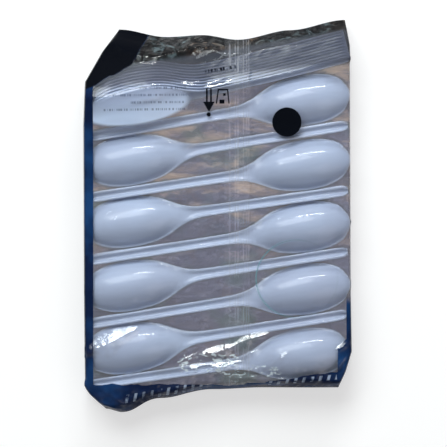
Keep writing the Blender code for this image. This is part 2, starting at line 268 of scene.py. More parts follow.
def tippedFrame():
    roll = math.radians(stack["tippedRoll"])
    stations = spoonStations()
    bowl, handle = corePoints(stations[: len(bowlStations)]), corePoints(stations[len(bowlStations):])
    atBowl, atHandle = [
        spoon[facing] / 2 + stack["tippedGap"]
        + max(-p.y * math.cos(roll) + p.z * math.sin(roll) for p in part)
        for facing, part in (("handleWidth", bowl), ("bowlWidth", handle))]
    first, lean, _ = rowPlace(0)
    along = math.radians(lean)
    turned = along + math.asin((atHandle - atBowl) / (2 * bowlLever()))
    middle = first + (atHandle + atBowl) / 2 * Vector((-math.sin(along), math.cos(along), 0))
    across = Vector((math.cos(along), math.sin(along), 0))
    middle += (stack["tippedShift"] - middle.x) / math.cos(along) * across
    turn = turnBy(math.degrees(turned)) @ turnBy(stack["tippedRoll"], "X") @ turnBy(180)
    back = Vector((0, 0, (stack["count"] - 1) * stack["pitch"] + spoon["wall"]))
    middle.z = stack["floor"] - min((turn @ (p - back)).z for p in bowl + handle)
    return Matrix.Translation(middle) @ turn


def ownCopy(model):
    piece = model.copy()
    piece.data = model.data.copy()
    bpy.context.scene.collection.objects.link(piece)
    return piece


def placePiece(model, matrix, node):
    piece = ownCopy(model)
    piece.name = piece.data.name = "dressed_" + node
    piece.data.transform(matrix)
    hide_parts(node)
    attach(piece, "root")
    return piece


# Each stack: single spoons on top, six below them as one piece, all a little out of true.
def packSpoons():
    fine = modelSpoon("fineSpoon", spoon["fine"])
    coarse = modelSpoon("coarseSpoon", spoon["coarse"])
    block = ownCopy(coarse)
    addModifier(block, "ARRAY", count=stack["count"] - stack["single"], use_relative_offset=False,
                use_constant_offset=True, constant_offset_displace=(0, 0, -stack["pitch"]))
    dice = np.random.default_rng(7)
    made = []
    for index in range(len(stack["leans"])):
        place, lean, right = rowPlace(index)
        label = f"{'right' if right else 'left'}_{index // 2 + 1}"
        turn = turnBy(lean + (0 if right else 180))
        for level in range(stack["single"] + 1):
            rise = stack["base"] + (stack["count"] - 1 - level) * stack["pitch"]
            matrix = Matrix.Translation(place + Vector((0, 0, rise))) @ turn
            if level == stack["single"]:
                made.append(placePiece(block, matrix, f"lower_spoons_{label}"))
                continue
            slide, swing, roll = dice.uniform(-1, 1, 3)
            matrix = matrix @ (Matrix.Translation((slide * stack["looseness"], 0, 0))
                               @ turnBy(swing * stack["looseTurn"])
                               @ turnBy(roll * stack["looseRoll"] * (level == 0), "X"))
            made.append(placePiece(coarse if level else fine, matrix, f"spoon_{label}_{level + 1}"))
    tipped = tippedFrame()
    for level in range(stack["count"]):
        matrix = tipped @ Matrix.Translation((0, 0, -level * stack["pitch"]))
        made.append(placePiece(fine, matrix, f"spoon_tipped_{level + 1}"))
    for model in (fine, coarse, block):
        bpy.data.objects.remove(model, do_unlink=True)
    print("spoons:", len(made), "pieces")
    return made


# The bag's limits and its plan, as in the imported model, and how the film hangs.
bag = {
    "film": 0.12 * mm,
    "clear": 0.45 * mm,
    "sheets": 0.35 * mm,
    "columns": 112,
    "rows": 172,
    "gridStep": 0.8 * mm,
    "hangRadius": 95 * mm,
    "edgeHeight": 8 * mm,
    "shoulder": 23.5 * mm,
    "leftRound": 2.2 * mm,
    "rightRound": 1.6 * mm,
    "leftTuck": 1.5 * mm,
    "rightTuck": 0.6 * mm,
    "lapMiddle": 11.9 * mm,
    "lapWidth": 15.5 * mm,
    "lapRise": 0.4 * mm,
    "lapEdge": 0.35 * mm,
    "sealHeight": 8.5 * mm,
    "footMargin": 5.2 * mm,
    "footTip": 15 * mm,
    "headMargin": 7 * mm,
    "headDip": 14 * mm,
    "sideGapRight": 0.6 * mm,
    "sideGapLeft": 1.7 * mm,
    "cadFilm": 0.25 * mm,
    "cover": 0.9 * mm,
    "sinkDepth": 4 * mm,
    "headCrush": 20 * mm,
    "footCrush": 22 * mm,
    "patchSize": 30 * mm,
    "endClose": 1.2 * mm,
    "crowded": 6 * mm,
    "endWave": 1.2 * mm,
    "wavesAcross": 9.0,
    "footWaveStart": 1.0,
    "headWaveStart": 2.4,
}
footEdge = ((-1.0, 0.86), (-0.90, 1.0), (-0.45, 0.43), (0.0, 0.07), (0.4, 0.0))
headEdge = ((-1.0, 0.42), (-0.55, 0.74), (-0.25, 0.66), (0.06, 0.86), (0.5, 0.45), (1.0, 0.0))
leftFromFoot = ((-15.0, 16.0), (-4.0, 3.8), (0.0, 1.0), (50.0, 0.4))
leftFromHead = ((64.0, 0.0), (38.0, 1.0), (20.0, 11.2), (6.0, 21.5))
rightFromFoot = ((0.0, 7.5), (10.0, 3.0), (22.0, -0.6), (60.0, 0.0))
rightFromHead = ((16.0, 0.6), (0.0, 3.5))
floorRise = ((0.0, 1.0), (0.35, 0.36), (0.81, 0.0))
footRise = ((0.0, 0.0), (0.35, 0.46), (0.81, 0.86), (1.54, 0.97), (2.7, 1.0))
headRise = ((0.0, 0.0), (0.155, 0.36), (0.37, 0.62), (0.56, 0.80), (0.78, 0.94), (1.12, 1.0))
bowlMound = ((0.99, 0.0), (1.80, 1.0), (2.92, 1.0), (4.10, 0.0))
handleMound = ((0.62, 0.0), (1.18, 0.62), (2.11, 0.62), (3.11, 0.0))
handleSide = ((-0.15, 0.0), (0.35, 1.0))

# Creases: height and size in millimetres, stretch, angle, seed and sharpness.
freeCreases = ((0.55, 9.0, 2.6, 14, 1.0, 3), (0.16, 4.5, 1.8, -38, 5.0, 4))
headCrumples = ((2.2, 8.0, 1.5, 30, 9.0, 2), (1.1, 3.2, 1.3, -50, 11.0, 2))
footTucks = ((1.4, 6.0, 2.0, 70, 13.0, 2), (0.8, 3.0, 1.6, 20, 15.0, 2))
backCrease = (0.15, 14.0, 1.5, 25, 21.0, 2)


def smoothThrough(points, x):
    xs, ys = np.array(points).T
    index = np.clip(np.searchsorted(xs, x) - 1, 0, len(xs) - 2)
    share = np.clip((x - xs[index]) / (xs[index + 1] - xs[index]), 0, 1)
    return ys[index] + (ys[index + 1] - ys[index]) * share**2 * (3 - 2 * share)


def straightThrough(points, x):
    xs, ys = np.array(points).T
    return np.interp(x, xs, ys)


# The bag's ends and heights, measured from the spoons in it.
def bagLimits():
    reach = spoon["length"] / 2 * math.cos(math.radians(min(stack["leans"])))
    limits = {
        "right": stack["rightShift"] + reach + bag["sideGapRight"] + bag["cadFilm"],
        "left": stack["leftShift"] - reach - bag["sideGapLeft"] + bag["cadFilm"],
    }
    core = corePoints(spoonStations())
    last, lean, _ = rowPlace(len(stack["leans"]) - 1)
    bowl = corePoints(spoonStations()[: len(bowlStations)])
    limits["foot"] = last.y + min((turnBy(lean) @ point).y for point in bowl) - bag["footMargin"]
    tipped = tippedFrame()
    back = Vector((0, 0, -(stack["count"] - 1) * stack["pitch"]))
    front = [tipped @ point for point in core]
    behind = [tipped @ (point + back) for point in core]
    limits["head"] = max(p.y for p in behind) + bag["headMargin"]
    limits["depth"] = max(p.y for p in behind) - max(p.y for p in front)
    cover = bag["cover"] + bag["cadFilm"]
    limits["tall"] = max(p.z for p in front) + cover
    limits["high"] = stack["base"] + (stack["count"] - 1) * stack["pitch"] + spoon["bowlDepth"] + cover
    return limits


# X of the two sides at a distance along the bag.
def bagSides(limits, y):
    insets = []
    for nearFoot, nearHead in ((leftFromFoot, leftFromHead), (rightFromFoot, rightFromHead)):
        outline = [(limits["foot"] + far * mm, inset * mm) for far, inset in nearFoot]
        outline += [(limits["head"] - far * mm, inset * mm) for far, inset in nearHead]
        insets.append(straightThrough(outline, y))
    return limits["left"] + insets[0], limits["right"] - insets[1]


def bagEnds(limits, across):
    return (limits["foot"] - bag["footTip"] * smoothThrough(footEdge, across),
            limits["head"] - bag["headDip"] * smoothThrough(headEdge, across))


# Underside of the bag and the highest that its film may lie, at a place.
def bagProfile(limits, across, y):
    foot, head = bagEnds(limits, across)
    fromFoot, fromHead = y - foot, head - y
    atFoot = fromFoot < fromHead
    lift = straightThrough(floorRise, np.minimum(fromFoot, fromHead) / bag["footMargin"])
    start = np.where(atFoot, bag["footWaveStart"], bag["headWaveStart"])
    floor = lift * (bag["sealHeight"] + bag["endWave"] * np.sin(bag["wavesAcross"] * across + start))
    body = np.where(atFoot, straightThrough(footRise, fromFoot / bag["footMargin"]),
                    straightThrough(headRise, fromHead / limits["depth"]))
    bowls = smoothThrough(bowlMound, fromHead / limits["depth"])
    handles = smoothThrough(handleMound, fromHead / limits["depth"])
    mound = bowls + (handles - bowls) * smoothThrough(handleSide, across)
    top = limits["high"] + (limits["tall"] - limits["high"]) * mound
    return floor, floor + (top - floor) * body


# The lowest sheet of a given hanging radius that still lies on every support.
def hangOver(heights, step, radius):
    hung = heights
    for sign in (-1, 1):
        for axis in (0, 1):
            moved = np.moveaxis(hung, axis, 0)
            places = np.arange(len(moved)) * step
            result = np.empty_like(moved)
            for i, place in enumerate(places):
                sag = ((places - place) ** 2 / (2 * radius))[:, None]
                result[i] = (moved - sag).max(0) if sign < 0 else (moved + sag).min(0)
            hung = np.moveaxis(result, 0, axis)
    return hung


def spoonTree(pieces):
    points, faces = [], []
    for piece in pieces:
        start = len(points)
        points += [v.co.copy() for v in piece.data.vertices]
        faces += [[start + i for i in p.vertices] for p in piece.data.polygons]
    return BVHTree.FromPolygons(points, faces)


# Height of the spoons under the film, on an even grid.
def supportGrid(limits, pieces):
    tree = spoonTree([p for p in pieces if p.name.endswith("_1") or "tipped" in p.name])
    xs = np.arange(limits["left"] - 3 * mm, limits["right"] + 3 * mm, bag["gridStep"])
    ys = np.arange(limits["foot"] - 18 * mm, limits["head"] + 3 * mm, bag["gridStep"])
    grid = np.full((len(xs), len(ys)), -1.0)
    for i, x in enumerate(xs):
        for j, y in enumerate(ys):
            hit = tree.ray_cast(Vector((x, y, 0.1)), Vector((0, 0, -1)))[0]
            if hit:
                grid[i, j] = hit.z + bag["clear"]
    return xs, ys, grid


def readGrid(xs, ys, grid, x, y):
    u = np.clip((x - xs[0]) / bag["gridStep"], 0, len(xs) - 1.001)
    v = np.clip((y - ys[0]) / bag["gridStep"], 0, len(ys) - 1.001)
    i, j = u.astype(int), v.astype(int)
    a, b = u - i, v - j
    return ((grid[i, j] * (1 - a) + grid[i + 1, j] * a) * (1 - b)
            + (grid[i, j + 1] * (1 - a) + grid[i + 1, j + 1] * a) * b)


def noiseGrid(x, y, seed):
    flat = [noise.noise(Vector((a, b, seed))) for a, b in zip(x.ravel(), y.ravel())]
    return np.array(flat).reshape(x.shape)


# Sharp ridges of creased film: turned, stretched noise folded at nought. Their height, and its share.
def creases(x, y, recipe):
    high, size, stretch, angle, seed, power = recipe
    c, s = math.cos(math.radians(angle)), math.sin(math.radians(angle))
    flat = noiseGrid((x * c + y * s) / (size * mm * stretch), (y * c - x * s) / (size * mm), seed)
    share = np.maximum(0, 1 - 2.2 * np.abs(flat)) ** power
    return high * mm * share, share


# Single folds that the photograph shows: two ends in its pixels, half width and height in millimetres.
folds = (
    (84, 356, 141, 328, 6.0, 2.2), (96, 362, 118, 350, 3.5, 1.2), (196, 358, 252, 344, 4.5, 1.8),
    (236, 344, 272, 334, 3.5, 1.6), (205, 366, 262, 372, 3.0, 1.4), (150, 372, 215, 366, 3.0, 1.0),
    (268, 372, 290, 352, 2.4, 0.9), (336, 352, 352, 342, 2.5, 1.5), (334, 372, 346, 358, 2.5, 1.5),
    (118, 312, 140, 292, 1.6, 0.5), (124, 292, 146, 312, 1.6, 0.5), (110, 300, 150, 298, 1.4, 0.4),
    (205, 90, 232, 80, 2.4, 1.0), (130, 104, 166, 96, 2.4, 0.7), (196, 322, 212, 316, 2.0, 0.9),
    (180, 150, 206, 136, 2.0, 0.8), (178, 364, 204, 351, 1.8, 1.0), (206, 352, 230, 357, 1.8, 0.9),
    (212, 369, 250, 361, 2.0, 1.1), (186, 373, 210, 366, 1.8, 0.9), (226, 377, 266, 380, 1.8, 1.0),
    (250, 371, 286, 366, 1.8, 0.9), (240, 357, 264, 351, 1.6, 0.9), (104, 391, 130, 409, 1.3, 0.9),
    (112, 388, 152, 396, 1.3, 0.8), (158, 387, 204, 388, 1.2, 0.8), (262, 382, 300, 379, 1.3, 0.8),
)


# Where a place in the photograph lies on the film, in metres.
def onPack(column, row):
    size = photo["pixelSize"] * photo["filmScale"]
    return (column - photo["zeroColumn"]) * size, (photo["zeroRow"] - row) * size


def foldHeight(x, y):
    high = np.zeros_like(x)
    shown = np.zeros_like(x)
    for *ends, width, rise in folds:
        (ax, ay), (bx, by) = onPack(*ends[:2]), onPack(*ends[2:])
        length = math.hypot(bx - ax, by - ay)
        ux, uy = (bx - ax) / length, (by - ay) / length
        along = ((x - ax) * ux + (y - ay) * uy) / length
        beside = np.abs((y - ay) * ux - (x - ax) * uy)
        taper = np.sqrt(np.clip(np.minimum(along * 1.4, 1 - along) * 2.2, 0, 1))
        across = np.maximum(0, 1 - beside / (width * mm * (0.15 + 0.85 * taper))) * taper
        high += rise * mm * across
        shown = np.maximum(shown, np.clip(3 * across, 0, 1) * min(1.0, rise / 1.5))
    return high, shown


# The film draped over the supports, how freely it hangs there, how high the spoons stand, and the gaps.
def drapedFilm(limits, pieces, x, y):
    xs, ys, supports = supportGrid(limits, pieces)
    gridX, gridY = np.meshgrid(xs, ys, indexing="ij")
    left, right = bagSides(limits, gridY)
    share = np.clip((2 * gridX - left - right) / (right - left), -1, 1)
    floor, ceiling = bagProfile(limits, share, gridY)
    inside = (gridX > left) & (gridX < right)
    shoulders = np.where(np.abs(share) > 0.93, np.minimum(bag["shoulder"], ceiling * 0.9), -1.0)
    held = np.maximum(np.maximum(supports, shoulders), floor + bag["sheets"])
    held = np.where(inside, held, np.minimum(ceiling, bag["shoulder"]))
    drape = hangOver(held, bag["gridStep"], bag["hangRadius"])
    free = np.clip((drape - np.maximum(supports, 0)) / bag["sinkDepth"], 0, 1)
    standing, gap = supports, (supports < 0).astype(float)
    for axis in (0, 1):
        standing = np.maximum(standing, np.maximum(np.roll(standing, 1, axis), np.roll(standing, -1, axis)))
        gap = (np.roll(gap, 1, axis) + 2 * gap + np.roll(gap, -1, axis)) / 4
    return [readGrid(xs, ys, grid, x, y) for grid in (drape, free, np.maximum(standing, -0.05), gap)]


# Film heights over the plan: draped, creased where it hangs free, and rounded off at the sides. With them,
# where the film spans a gap and where it is crushed.
def filmHeights(limits, pieces, x, y, across):
    z, free, low, gap = drapedFilm(limits, pieces, x, y)
    floorHere, ceilingHere = bagProfile(limits, across, y)
    foot, head = bagEnds(limits, across)
    headCrush = np.clip(1 - (head - y) / bag["headCrush"], 0, 1) * np.clip(0.75 - 0.6 * across, 0.3, 1)
    footCrush = np.clip(1 - (y - foot) / bag["footCrush"], 0, 1)
    soft = np.clip(0.5 + noiseGrid(x / bag["patchSize"], y / bag["patchSize"], 3.0), 0, 1)
    (broad, _), (small, _) = [creases(x, y, recipe) for recipe in freeCreases]
    (crumple, _), (fineCrumple, crumpled) = [creases(x, y, recipe) for recipe in headCrumples]
    (tuck, _), (fineTuck, tucked) = [creases(x, y, recipe) for recipe in footTucks]
    wrinkle = (free * (soft * broad + small) + headCrush * (crumple + fineCrumple)
               + footCrush * (tuck + fineTuck))
    rise, folded = foldHeight(x, y)
    crush = np.maximum(folded, footCrush * tucked + 0.6 * headCrush * crumpled)
    lapDistance = np.abs(x - bag["lapMiddle"]) - bag["lapWidth"] / 2
    lap = bag["lapRise"] * np.clip(1 - lapDistance / bag["lapEdge"], 0, 1)
    z = np.minimum(z + wrinkle + rise + lap, ceilingHere)
    left, right = bagSides(limits, y)
    for distance, width in ((x - left, bag["leftRound"]), (right - x, bag["rightRound"])):
        turn = np.sqrt(1 - (1 - np.clip(distance / width, 0, 1)) ** 2)
        edge = np.minimum(bag["edgeHeight"], floorHere + 0.5 * (z - floorHere))
        z = np.where(distance < width, np.maximum(edge + (z - edge) * turn, np.minimum(low, z)), z)
    close = np.clip(np.minimum(y - foot, head - y) / bag["endClose"], 0, 1)
    z = np.maximum(z, floorHere + bag["sheets"]) * close + (1 - close) * floorHere
    return z, gap * (1 - headCrush) ** 2, crush


def filmUnderside(limits, x, y, across, topEdge):
    floor, _ = bagProfile(limits, across, y)
    left, right = bagSides(limits, y)
    z = floor + creases(x, y, backCrease)[0]
    for distance, width, edge in ((x - left, bag["leftTuck"], topEdge[0]),
                                  (right - x, bag["rightTuck"], topEdge[-1])):
        turn = np.sqrt(1 - (1 - np.clip(distance / width, 0, 1)) ** 2)
        z = np.where(distance < width, edge + (z - edge) * turn, z)
    return z


# Columns across the bag, crowded at the rounded sides and at the lap's edges.
def columnShares(limits):
    wide = limits["right"] - limits["left"]
    close = np.array((0, 0.08, 0.2, 0.4, 0.7, 1.1, 1.7, 2.5, 3.5, 4.7)) * mm / wide
    lap = []
    for side in (-1, 1):
        edge = bag["lapMiddle"] + side * bag["lapWidth"] / 2
        lap += [(edge - limits["left"]) / wide, (edge + side * bag["lapEdge"] - limits["left"]) / wide]
    count = bag["columns"] + 1 - 2 * len(close) - len(lap)
    body = np.linspace(bag["crowded"] / wide, 1 - bag["crowded"] / wide, count)
    return np.sort(np.concatenate((close, 1 - close, lap, body)))


def sheetGrid(name, columns, rows, places):
    clearSelection()
    bpy.ops.mesh.primitive_grid_add(x_subdivisions=columns - 1, y_subdivisions=rows - 1, size=2)
    sheet = bpy.context.object
    sheet.name = name
    sheet.data.vertices.foreach_set("co", places.transpose(1, 0, 2).ravel())
    sheet.data.update()
    return sheet


# Two grids, shaped to the draped top and the flat underside, are welded round the edge and given a wall.
def filmBag(pieces):
    limits = bagLimits()
    shares = columnShares(limits)
    rows = bag["rows"] + 1
    across = np.repeat((2 * shares - 1)[:, None], rows, axis=1)
    ends = np.linspace(0, 1, rows)[None, :]
    foot, head = bagEnds(limits, across)
    y = foot + (head - foot) * ends
    left, right = bagSides(limits, y)
    x = left + (right - left) * (across + 1) / 2
    top, gap, crush = filmHeights(limits, pieces, x, y, across)
    under = filmUnderside(limits, x, y, across, top)
    for rim in (np.s_[0, :], np.s_[-1, :], np.s_[:, 0], np.s_[:, -1]):
        under[rim] = top[rim]
    upper = sheetGrid("film_bag_visible", len(shares), rows, np.stack((x, y, top), axis=2))
    lower = sheetGrid("film_back", len(shares), rows, np.stack((x, y, np.maximum(under, 0)), axis=2))
    for name, values in (("gap", gap), ("crush", crush)):
        layer = upper.data.attributes.new(name, "FLOAT", "POINT")
        layer.data.foreach_set("value", values.transpose().ravel())
    editWhole(lower, bpy.ops.mesh.flip_normals)
    joined = joinSheets(upper, lower)
    addModifier(joined, "SOLIDIFY", thickness=bag["film"], offset=-1.0, material_offset=1)
    bpy.ops.object.shade_smooth()
    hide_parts("film_bag")
    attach(joined, "root")
    print("film:", len(joined.data.polygons), "faces")


def joinSheets(upper, lower):
    for sheet, slot in ((upper, 0), (lower, 2)):
        for look in filmLooks:
            sheet.data.materials.append(look)
        sheet.data.polygons.foreach_set("material_index", np.full(len(sheet.data.polygons), slot))
    makeActive(upper)
    lower.select_set(True)
    bpy.ops.object.join()
    editWhole(upper, bpy.ops.mesh.remove_doubles, threshold=0.001 * mm)
    return upper


def addNode(tree, kind, inputs=(), output=0, **settings):
    made = tree.nodes.new(kind if kind.startswith("Node") else "ShaderNode" + kind)
    for name, value in settings.items():
        setattr(made, name, value)
    for name, value in dict(inputs).items():
        put(made.inputs[name], value)
    return Value(made, output)


# One output of a node. Arithmetic on it adds the node for it.
class Value:
    def __init__(self, node, output):
        self.tree, self.node = node.id_data, node
        self.socket = node.outputs[output] if node.outputs else None

    def pick(self, *outputs):
        return [Value(self.node, output) for output in outputs]

    def math(self, operation, other=0.5):
        return addNode(self.tree, "Math", {0: self, 1: other}, operation=operation)

    def __add__(self, other):
        return self.math("ADD", other)

    def __sub__(self, other):
        return self.math("SUBTRACT", other)

    def __rsub__(self, other):
        return addNode(self.tree, "Math", {0: other, 1: self}, operation="SUBTRACT")

    def __mul__(self, other):
        return self.math("MULTIPLY", other)

    def __truediv__(self, other):
        return self.math("DIVIDE", other)

    def clamped(self):
        self.node.use_clamp = True
        return self


def put(socket, value):
    if isinstance(value, Value):
        value.tree.links.new(value.socket, socket)
    else:
        socket.default_value = (*value, 1.0) if socket.type == "RGBA" else value


def objectPlace(tree):
    return addNode(tree, "TexCoord", output="Object")


def axes(place):
    return addNode(place.tree, "SeparateXYZ", {0: place}).pick(*"XYZ")


def stretched(place, angle, scale):
    return addNode(place.tree, "Mapping", {"Vector": place, "Rotation": (0, 0, angle), "Scale": scale})


def clouded(place, scale, detail=2.0, distortion=0.0, roughness=0.5):
    return addNode(place.tree, "TexNoise", {
        "Vector": place, "Scale": scale, "Detail": detail, "Distortion": distortion, "Roughness": roughness})


# Noise along one line, for threads and dashes.
def broken(along, scale):
    return addNode(along.tree, "TexNoise", {"W": along, "Scale": scale, "Detail": 1.0},
                   noise_dimensions="1D")


def ridged(place, scale, detail=3.0):
    return (clouded(place, scale, detail) - 0.5).math("ABSOLUTE")


def attribute(tree, name):
    return addNode(tree, "Attribute", output="Fac", attribute_name=name)


def largest(first, *others):
    for other in others:
        first = first.math("MAXIMUM", other)
    return first


def ramp(value, low, high, fromValue=0.0, toValue=1.0, smooth=False):
    return addNode(value.tree, "MapRange", {
        "Value": value, "From Min": low, "From Max": high, "To Min": fromValue, "To Max": toValue},
        interpolation_type="SMOOTHSTEP" if smooth else "LINEAR")


def bumpOf(height, strength, distance):
    return addNode(height.tree, "Bump", {"Height": height, "Strength": strength, "Distance": distance})


def mixColours(share, first, second):
    return addNode(share.tree, "Mix", {0: share, 6: first, 7: second}, 2, data_type="RGBA")


def mixShaders(share, first, second):
    return addNode(share.tree, "MixShader", {0: share, 1: first, 2: second})


def principled(tree, colour, roughness, more=()):
    return addNode(tree, "BsdfPrincipled", {"Base Color": colour, "Roughness": roughness, **dict(more)})


def newLook(name):
    look = bpy.data.materials.new(name)
    look.use_nodes = True
    look.node_tree.nodes.clear()
    return look, look.node_tree


def finishLook(look, shader):
    addNode(look.node_tree, "OutputMaterial", {"Surface": shader})
    return look


def newGroup(name, inputs, outputs):
    tree = bpy.data.node_groups.new(name, "ShaderNodeTree")
    for label, value in inputs.items():
        socket = tree.interface.new_socket(label, in_out="INPUT", socket_type="NodeSocketFloat")
        socket.default_value = value
    for label in outputs:
        tree.interface.new_socket(label, in_out="OUTPUT", socket_type="NodeSocketFloat")
    return tree, addNode(tree, "NodeGroupInput").pick(*inputs)


# Crinkled film: small facets and fine creases, as one height.
def crinkleGroup():
    tree, (facets, creasing) = newGroup("filmCrinkle", {"Facets": 1.0, "Creases": 1.0}, ("Height",))
    place = objectPlace(tree)
    warp = clouded(place, 45.0).pick("Color")[0]
    moved = addNode(tree, "VectorMath", {0: warp, 1: (0.012, 0.012, 0.012), 2: place},
                    operation="MULTIPLY_ADD")
    cells = addNode(tree, "TexVoronoi", {"Vector": moved, "Scale": 120.0}, "Distance",
                    feature="DISTANCE_TO_EDGE")
    height = cells * facets + ridged(moved, 160.0) * creasing
    addNode(tree, "NodeGroupOutput", {"Height": height})
    return tree


# A soft-edged disc on the film, seen from above.
def discGroup():
    tree, (middleX, middleY, radius, squash, soft) = newGroup(
        "printedDisc", {"X": 0.0, "Y": 0.0, "Radius": 0.01, "Squash": 1.0, "Soft": 0.0002}, ("Mask",))
    placeX, placeY, _ = axes(objectPlace(tree))
    x, y = placeX - middleX, (placeY - middleY) * squash
    far = (x * x + y * y).math("SQRT")
    addNode(tree, "NodeGroupOutput", {"Mask": ((radius - far) / soft + 0.5).clamped()})
    return tree


# A soft-edged oblong on the film, turned by an angle.
def oblongGroup():
    tree, (middleX, middleY, wide, high, angle, soft) = newGroup(
        "printedOblong", {"X": 0.0, "Y": 0.0, "Wide": 0.01, "High": 0.01, "Angle": 0.0, "Soft": 0.0002},
        ("Mask", "Along", "Beside"))
    placeX, placeY, _ = axes(objectPlace(tree))
    x, y = placeX - middleX, placeY - middleY
    c, s = angle.math("COSINE"), angle.math("SINE")
    along, beside = x * c + y * s, y * c - x * s
    inside = [((size * 0.5 - value.math("ABSOLUTE")) / soft + 0.5).clamped()
              for value, size in ((along, wide), (beside, high))]
    addNode(tree, "NodeGroupOutput", {"Mask": inside[0] * inside[1], "Along": along, "Beside": beside})
    return tree


def disc(tree, column, row, radius, squash=1.0, soft=None):
    x, y = onPack(column, row)
    size = photo["pixelSize"]
    return addNode(tree, "Group", {
        "X": x, "Y": y, "Radius": radius * size, "Squash": squash,
        "Soft": soft * size if soft else inks["printSoft"]}, node_tree=groups["disc"])


def oblong(tree, column, row, wide, high, angle=0.0):
    x, y = onPack(column, row)
    size = photo["pixelSize"]
    return addNode(tree, "Group", {
        "X": x, "Y": y, "Wide": wide * size, "High": high * size, "Angle": math.radians(angle),
        "Soft": inks["printSoft"]}, node_tree=groups["oblong"]).pick("Mask", "Along", "Beside")


def crinkleBump(tree, amount, strength, distance=0.002, extra=0.0):
    made = addNode(tree, "Group", {"Facets": amount, "Creases": amount}, node_tree=groups["crinkle"])
    return bumpOf(made + extra, strength, distance)


# White moulded plastic: cool white, softly glossy, faintly clouded, with a trace of mould texture.
plastic = {
    "bright": (0.47, 0.55, 0.71),
    "dull": (0.43, 0.49, 0.64),
    "roughLow": 0.42,
    "roughHigh": 0.52,
    "ior": 1.5,
    "specular": 0.35,
    "shine": 0.5,
    "shineRough": 0.05,
    "clouds": 22.0,
    "grain": 900.0,
    "grainStrength": 0.25,
    "grainDepth": 0.00002,
}


def plasticLook():
    look, tree = newLook("spoonPlastic")
    place = objectPlace(tree)
    clouds = clouded(place, plastic["clouds"], 3.0)
    colour = mixColours(ramp(clouds, 0.35, 0.7), plastic["bright"], plastic["dull"])
    bump = bumpOf(clouded(place, plastic["grain"]), plastic["grainStrength"], plastic["grainDepth"])
    rough = ramp(clouds, 0.3, 0.75, plastic["roughLow"], plastic["roughHigh"])
    return finishLook(look, principled(tree, colour, rough, {
        "Normal": bump, "IOR": plastic["ior"], "Specular IOR Level": plastic["specular"],
        "Coat Weight": plastic["shine"], "Coat Roughness": plastic["shineRough"]}))


# The film: how clear and how glossy it is, its inks, and the painted light on it: painted light in the gaps,
# the painted pressed bowl and painted glints.
inks = {
    "clearTint": (0.955, 0.965, 0.985),
    "gloss": 0.07,
    "glossFlat": 0.035,
    "glossEdge": 0.30,
    "glossCrush": 0.20,
    "headTint": (0.46, 0.44, 0.47),
    "stripTint": (0.40, 0.35, 0.32),
    "stripDark": (0.05, 0.045, 0.055),
    "stripBrown": (0.36, 0.24, 0.16),
    "stripTeal": (0.26, 0.38, 0.42),
    "stripShare": 0.24,
    "headVeil": (0.38, 0.44, 0.56),
    "veilShare": 0.12,
    "headGloss": 0.12,
    "haze": (0.78, 0.82, 0.90),
    "hazeShare": 0.016,
    "lapHaze": 0.10,
    "lapRelief": 0.02,
    "innerHaze": 0.03,
    # Painted light in the gaps between the stacks: its share, patches, crease highlights and colours.
    "gapPaintedLight": 0.28,
    "gapPaintedPatch": 0.22,
    "gapPaintedCrease": 0.11,
    "gapMauve": (0.46, 0.46, 0.62),
    "gapPeach": (0.76, 0.60, 0.52),
    "gapTeal": (0.32, 0.44, 0.45),
    "navy": (0.007, 0.016, 0.055),
    "navyBlue": (0.012, 0.050, 0.155),
    "backBlue": (0.02, 0.05, 0.15),
    "inkIor": 1.03,
    "inkRough": 0.16,
    "inkShine": 0.08,
    # Painted highlight and painted shade of the pressed bowl: its lit colour, its shaded upper colour and its
    # share.
    "paintedBowlLit": (0.62, 0.76, 1.0),
    "paintedBowlShade": (0.54, 0.64, 0.86),
    "paintedBowlShare": 0.82,
    # Painted glints: their colour and share.
    "paintedGlint": (0.80, 0.92, 0.97),
    "paintedGlintShare": 0.75,
    "black": (0.004, 0.005, 0.008),
    "teal": (0.10, 0.34, 0.38),
    "paleInk": (0.34, 0.42, 0.56),
    "liningPale": (0.62, 0.60, 0.68),
    "liningWarm": (0.72, 0.52, 0.40),
    "liningTeal": (0.30, 0.42, 0.44),
    "liningDark": (0.010, 0.009, 0.012),
    "liningBrown": (0.120, 0.065, 0.040),
    "liningGreen": (0.050, 0.075, 0.075),
    "printSoft": 0.2 * mm,
}

# Where the solid print ends, in the photograph's pixels, with the slopes and ends of its slanting edges.
border = {
    "left": 93.0,
    "foot": 385.0,
    "footTurn": 245.0,
    "footSlope": 0.14,
    "cornerLeft": (0.518, 97.8 * mm),
    "cornerBelow": (0.575, 120.0 * mm),
    "cornerSoft": 1.0 * mm,
    "right": (346.5, 347.0),
    "rightTop": (296.0, 304.0),
    "turnFrom": (338.0, 339.0, 348.0),
    "turnColumns": (337.5, 338.5),
    "turnRows": (336.0, 340.0),
    "uneven": 4.0 * mm,
}

# Slanting zones at the head: slope, and where each begins and is full.
headZones = {
    "bunched": (0.1, 81.5 * mm, 86.5 * mm),
    "strip": (0.17, 97.5 * mm, 101.0 * mm),
}

# Generic marks: column, row and radius of discs; column, row, length, height and angle of bars.
printedDiscs = ((287, 122, 14.5), (208.7, 114.3, 2.1))
printedBars = (
    (206.9, 95.5, 1.7, 14), (211.0, 95.5, 1.7, 14), (217.4, 96.5, 1.3, 14, -8), (228.4, 96.5, 1.3, 14, 6),
    (223, 89.6, 10.5, 1.4), (222, 101.5, 5, 4), (224.5, 94.5, 2.5, 2.5),
    *((208.9, 102.4 + i * 1.5, 10.6 - i * 1.7, 1.7) for i in range(6)),
)
printedRing = {"middle": (297, 279), "outer": 41.2, "inner": 39.8, "squash": 1.05, "fade": (312, 268)}

